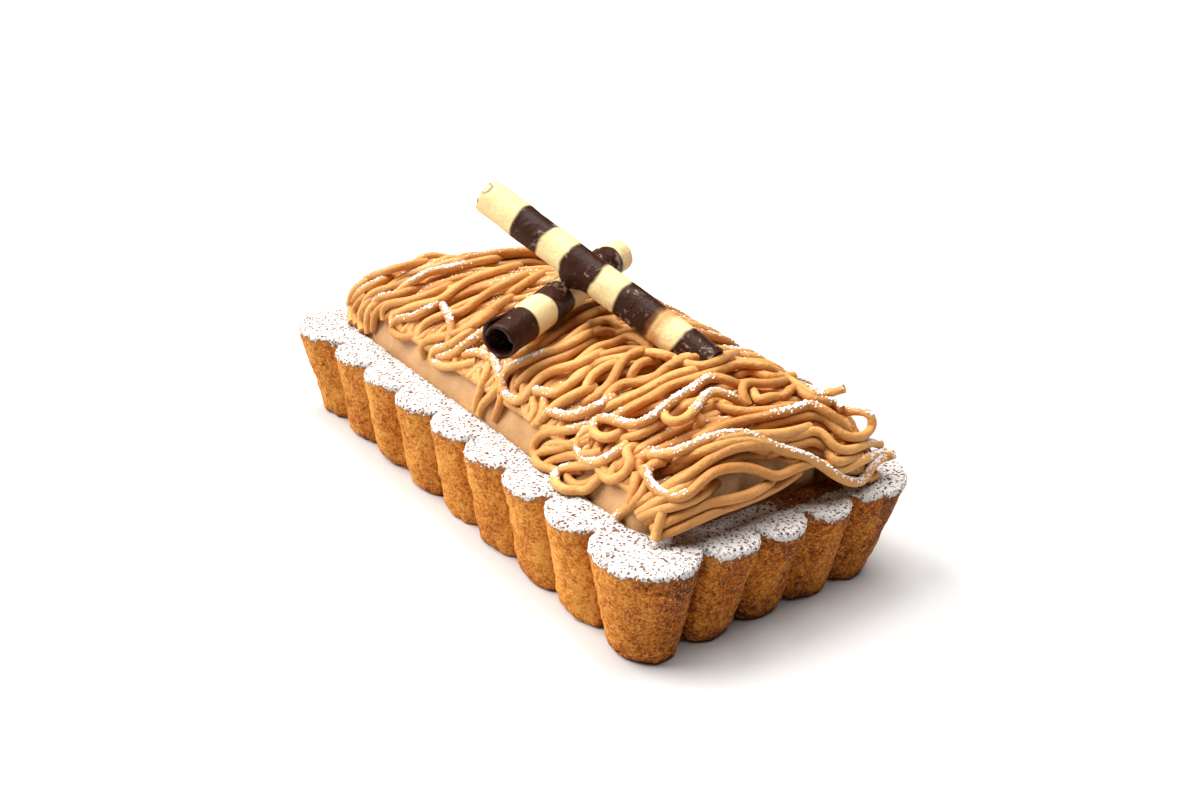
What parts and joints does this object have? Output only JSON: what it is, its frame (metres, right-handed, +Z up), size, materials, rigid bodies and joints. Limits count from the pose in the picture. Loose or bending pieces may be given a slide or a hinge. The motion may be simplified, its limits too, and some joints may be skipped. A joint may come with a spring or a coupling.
{
  "type": "mont blanc cake",
  "caption": "Rectangular fluted chestnut tart with a mound of cream, a heap of chestnut noodles and crossed striped chocolate sticks.",
  "frame": {"origin": "centre of the bounding box's footprint, on the surface the tart stands on", "axes": "+Z up; +X along the long side, towards the end that the upper stick dips to; +Y across, away from the side where the lower stick's open end stands out"},
  "size_m": [0.1206, 0.0714, 0.0602],
  "materials": {
    "pastry": "baked shortcrust, sandy and matt",
    "cream": "smooth chestnut cream",
    "noodles": "piped chestnut paste, slightly moist",
    "chocolate": "rolled chocolate in dark and cream bands"
  },
  "bodies": {
    "root": {"tart_shell": "pastry", "chestnut_cream": "cream", "noodle_heap": "noodles", "lower_stick": "chocolate", "upper_stick": "chocolate"}
  },
  "joints": []
}
